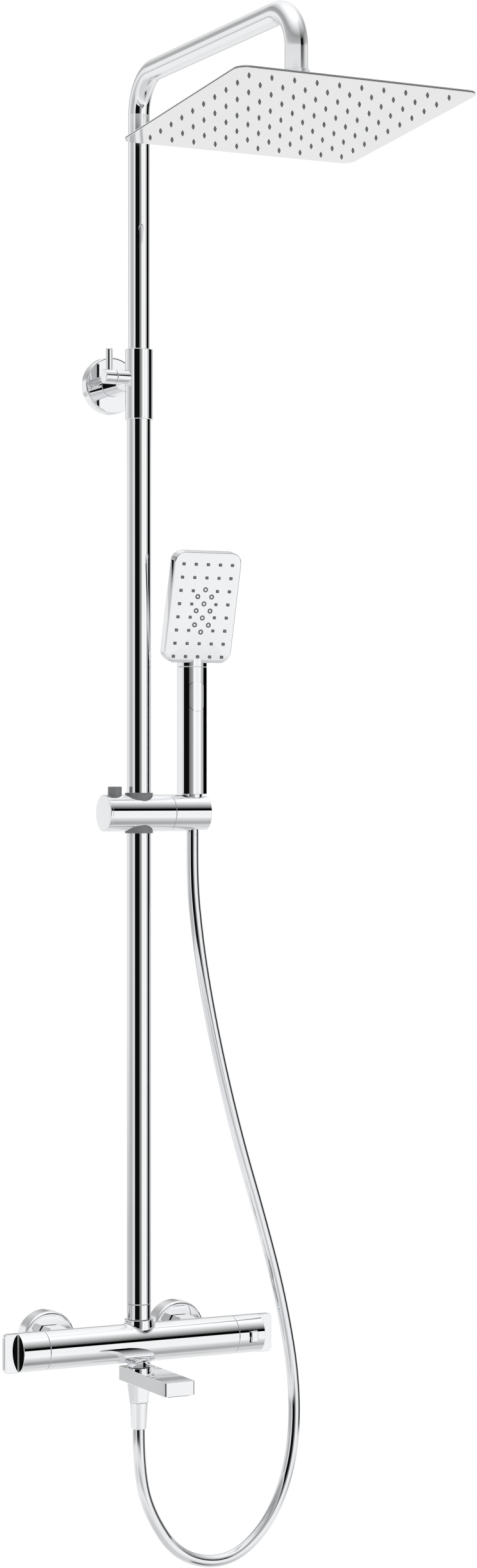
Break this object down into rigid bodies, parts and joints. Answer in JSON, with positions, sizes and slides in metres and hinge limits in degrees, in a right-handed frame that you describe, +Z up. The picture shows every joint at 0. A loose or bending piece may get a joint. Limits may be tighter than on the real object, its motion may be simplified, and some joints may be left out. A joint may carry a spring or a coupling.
{
  "type": "rainfall shower column",
  "caption": "Wall-fixed shower column: thermostatic bar mixer with spout, telescopic riser, arm with square rain head, slider with hand shower, and hose.",
  "frame": {"origin": "on the wall surface, midway between the two water inlets", "axes": "+Z up along the riser, +Y into the wall, +X to the right seen from the front"},
  "size_m": [0.3413, 0.5687, 1.5689],
  "materials": {
    "polished_chrome": "mirror polished chrome plating on brass",
    "polished_stainless": "mirror polished stainless sheet",
    "chromed_plastic": "chrome plated ABS",
    "spray_plate": "chrome plated ABS, satin",
    "grey_plastic": "moulded acetal, satin",
    "grey_silicone": "moulded silicone",
    "black_rubber": "moulded EPDM",
    "brass": "machined",
    "zinc_steel": "zinc plated",
    "white_plastic": "moulded polypropylene",
    "metallic_hose": "smooth silver PVC over a reinforced core"
  },
  "bodies": {
    "root": {"wall_unions": "brass", "union_nuts": "polished_chrome", "escutcheons": "polished_chrome", "seals": "black_rubber", "mixer_body": "polished_chrome", "diverter_cartridge": "brass", "thermostat_cartridge": "brass", "outlet_nipple": "brass", "spout_o_rings": "black_rubber", "hose_nut": "polished_chrome", "hose_ferrule": "polished_chrome", "shower_hose": "metallic_hose", "riser_nipple": "brass", "riser_collar": "polished_chrome", "lower_pipe": "polished_chrome", "height_sleeve": "polished_chrome", "guide_bush": "grey_plastic", "wall_plate": "zinc_steel", "bracket_cover": "polished_chrome", "bracket_stem": "polished_chrome", "bracket_grub_screw": "zinc_steel"},
    "diverter_control": {"diverter_handle": "polished_chrome", "diverter_lever": "polished_chrome", "diverter_spindle": "brass"},
    "temperature_control": {"temperature_handle": "polished_chrome", "temperature_lever": "polished_chrome", "temperature_spindle": "brass", "safety_button_spring": "zinc_steel"},
    "safety_stop": {"safety_button": "polished_chrome"},
    "spout_arm": {"spout": "polished_chrome", "spout_aerator": "grey_plastic"},
    "height_lock": {"lock_knob": "polished_chrome", "lock_pin": "polished_chrome"},
    "column_carriage": {"column_bush": "grey_plastic"},
    "shower_arm": {"upper_pipe": "polished_chrome", "arm_nipple": "brass"},
    "swivel": {"swivel_collar": "polished_chrome", "ball_socket": "grey_plastic"},
    "rain_head": {"head_ball_stud": "polished_stainless", "rain_head_face": "polished_stainless", "rain_head_gasket": "grey_silicone", "rain_head_cover": "polished_stainless", "rain_head_jets": "grey_silicone"},
    "slider": {"slider_body": "polished_chrome", "slider_bush": "grey_plastic", "slider_end_cap": "chromed_plastic", "holder_axle": "zinc_steel", "release_button_spring": "zinc_steel"},
    "slider_release": {"release_button": "grey_plastic"},
    "holder": {"handset_holder": "polished_chrome", "hose_upper": "metallic_hose"},
    "handset": {"handset_grip": "chromed_plastic", "handset_cone_nut": "polished_chrome", "handset_water_tube": "white_plastic", "handset_head_shell": "chromed_plastic", "handset_face_plate": "spray_plate", "handset_square_nozzles": "grey_silicone", "handset_round_nozzles": "grey_silicone", "spray_key_spring": "zinc_steel"},
    "spray_selector": {"spray_key": "chromed_plastic"}
  },
  "joints": [
    {"name": "diverter_turn", "type": "hinge", "parent": "root", "child": "diverter_control", "pos_m": [-0.1075, -0.078, 0], "axis": [1, 0, 0], "range_deg": [-90, 90]},
    {"name": "temperature_turn", "type": "hinge", "parent": "root", "child": "temperature_control", "pos_m": [0.1075, -0.078, 0], "axis": [1, 0, 0], "range_deg": [-90, 90]},
    {"name": "safety_button_press", "type": "slide", "parent": "temperature_control", "child": "safety_stop", "axis": [0, 1, 0], "range_m": [0, 0.0025], "stiffness_N_per_m": 600, "springref_m": -0.001, "deforming": ["safety_button_spring"]},
    {"name": "spout_swivel", "type": "hinge", "parent": "root", "child": "spout_arm", "pos_m": [0, -0.078, -0.032], "axis": [0, 0, 1], "range_deg": [-60, 60]},
    {"name": "lock_turn", "type": "hinge", "parent": "root", "child": "height_lock", "pos_m": [-0.0337, -0.078, 1.0015], "axis": [1, 0, 0], "range_deg": [0, 90]},
    {"name": "column_slide", "type": "slide", "parent": "root", "child": "column_carriage", "axis": [0, 0, 1], "range_m": [-0.2, 0.05]},
    {"name": "arm_swivel", "type": "hinge", "parent": "column_carriage", "child": "shower_arm", "pos_m": [0, -0.078, 0.74], "axis": [0, 0, 1], "range_deg": [-45, 45]},
    {"name": "head_swivel", "type": "hinge", "parent": "shower_arm", "child": "swivel", "pos_m": [0, -0.427, 1.232], "axis": [0, 0, 1], "continuous": true},
    {"name": "head_tilt", "type": "hinge", "parent": "swivel", "child": "rain_head", "pos_m": [0, -0.427, 1.232], "axis": [1, 0, 0], "range_deg": [-10, 20]},
    {"name": "slider_slide", "type": "slide", "parent": "root", "child": "slider", "axis": [0, 0, 1], "range_m": [-0.35, 0.35], "deforming": ["shower_hose"]},
    {"name": "release_button_press", "type": "slide", "parent": "slider", "child": "slider_release", "axis": [0, 0, -1], "range_m": [0, 0.004], "stiffness_N_per_m": 1000, "springref_m": -0.001, "deforming": ["release_button_spring"]},
    {"name": "holder_tilt", "type": "hinge", "parent": "slider", "child": "holder", "pos_m": [0.0346, -0.078, 0.55], "axis": [1, 0, 0], "range_deg": [-10, 40], "deforming": ["hose_upper"]},
    {"name": "handset_lift", "type": "slide", "parent": "holder", "child": "handset", "axis": [0, 0, 1], "range_m": [0, 0.06]},
    {"name": "spray_key_press", "type": "slide", "parent": "handset", "child": "spray_selector", "axis": [0, 1, 0], "range_m": [0, 0.0015], "stiffness_N_per_m": 600, "springref_m": -0.001, "deforming": ["spray_key_spring"]}
  ]
}
